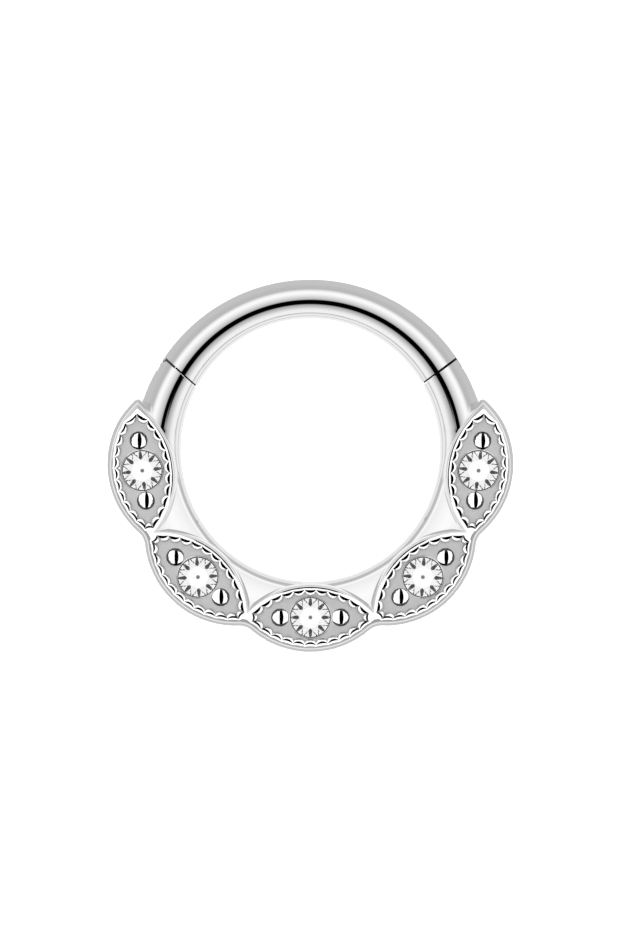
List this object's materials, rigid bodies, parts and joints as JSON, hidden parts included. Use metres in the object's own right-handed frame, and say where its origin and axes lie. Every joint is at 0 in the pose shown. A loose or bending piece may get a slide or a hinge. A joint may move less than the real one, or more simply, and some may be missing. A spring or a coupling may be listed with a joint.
{
  "type": "septum ring",
  "caption": "Hinged segment septum ring: a plain round wire closes the top, and clear stones sit in scalloped marquise settings with beads round the lower side.",
  "frame": {"origin": "middle of the hole, on the plane that the flat back rests on", "axes": "+Z along the ring's axis with the stones facing up, +Y towards the hinged segment, +X to the right of the picture"},
  "size_m": [0.0124, 0.0114, 0.0016],
  "materials": {
    "polished_steel": "mirror polished surgical steel, with satin recess floors",
    "clear_stone": "brilliant cut clear cubic zirconia"
  },
  "bodies": {
    "frame": {"ring_frame": "polished_steel", "hinge_pin": "polished_steel", "stone_left": "clear_stone", "stone_lower_left": "clear_stone", "stone_bottom": "clear_stone", "stone_lower_right": "clear_stone", "stone_right": "clear_stone"},
    "segment": {"clicker_bar": "polished_steel"}
  },
  "joints": [
    {"name": "segment_hinge", "type": "hinge", "parent": "frame", "child": "segment", "pos_m": [-0.00441, 0.0025, 0.00073], "axis": [0, 0, 1], "range_deg": [0, 70]}
  ]
}
